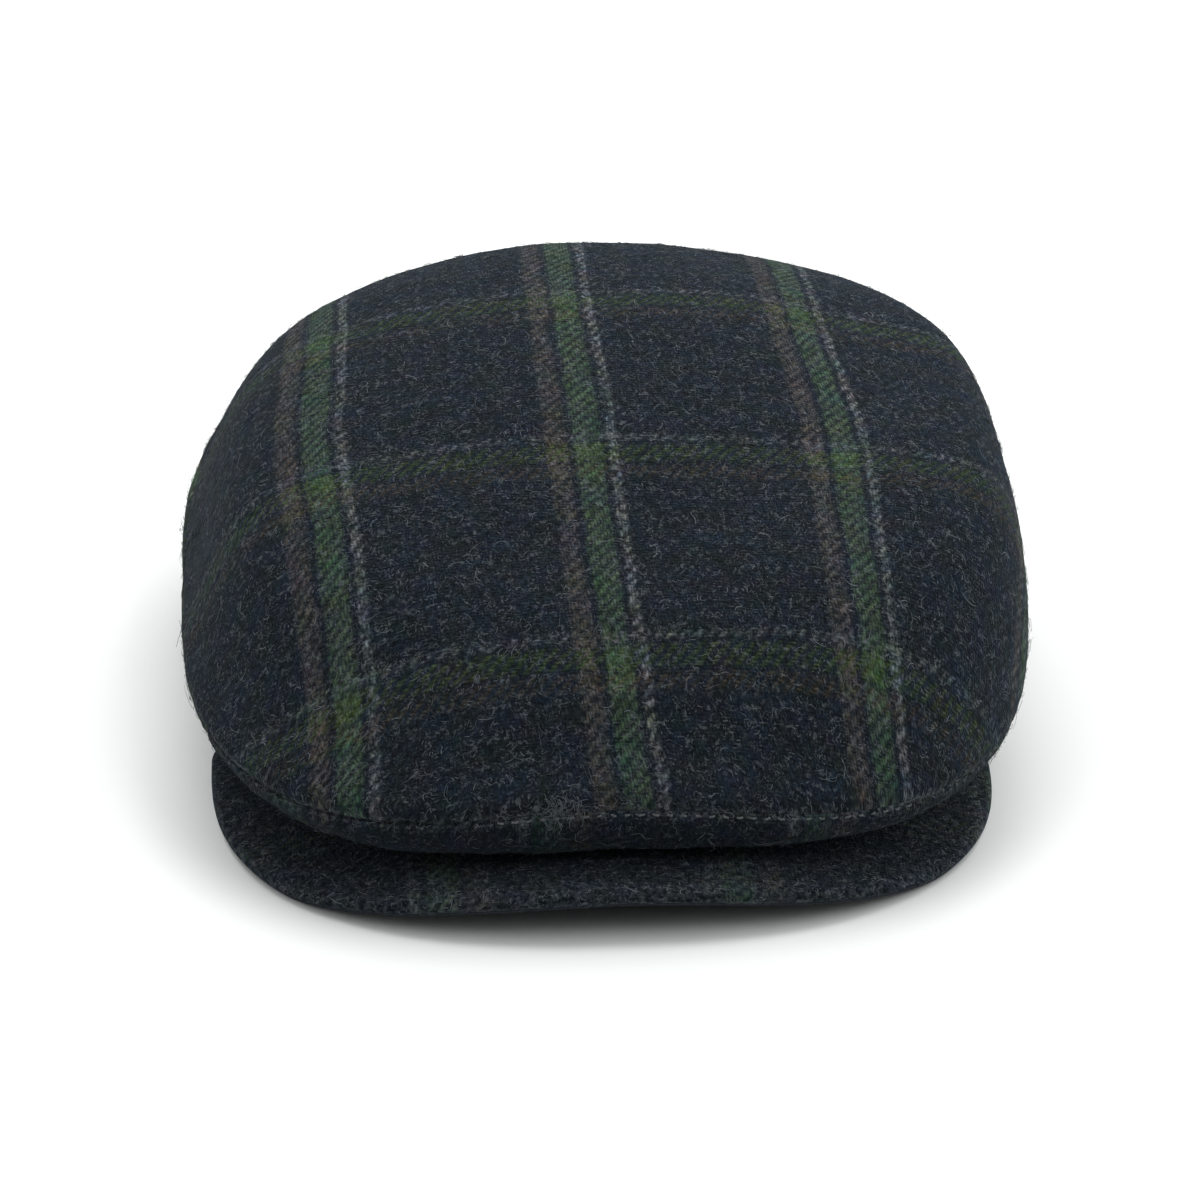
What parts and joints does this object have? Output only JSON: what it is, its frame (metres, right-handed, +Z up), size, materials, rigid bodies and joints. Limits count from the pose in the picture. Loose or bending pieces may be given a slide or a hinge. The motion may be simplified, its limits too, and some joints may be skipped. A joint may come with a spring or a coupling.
{
  "type": "flat cap",
  "caption": "Flat cap of checked navy wool twill: a low, full crown that bulges forward over a stiff curved peak, hollow and open below for the head.",
  "frame": {"origin": "on the table, under the middle of the cap's bounding box", "axes": "+Z up, -Y out of the front of the cap, over the peak, +X towards the right side of the cap as seen from the front"},
  "size_m": [0.2207, 0.2667, 0.0954],
  "materials": {
    "checked_twill": "napped navy wool twill with a large brown, green and grey windowpane check",
    "dark_twill": "plain dark wool twill"
  },
  "bodies": {
    "root": {"top_panel": "checked_twill", "front_band": "checked_twill", "side_panel_right": "checked_twill", "side_panel_left": "checked_twill", "peak_top": "checked_twill", "peak_under": "dark_twill"}
  },
  "joints": []
}
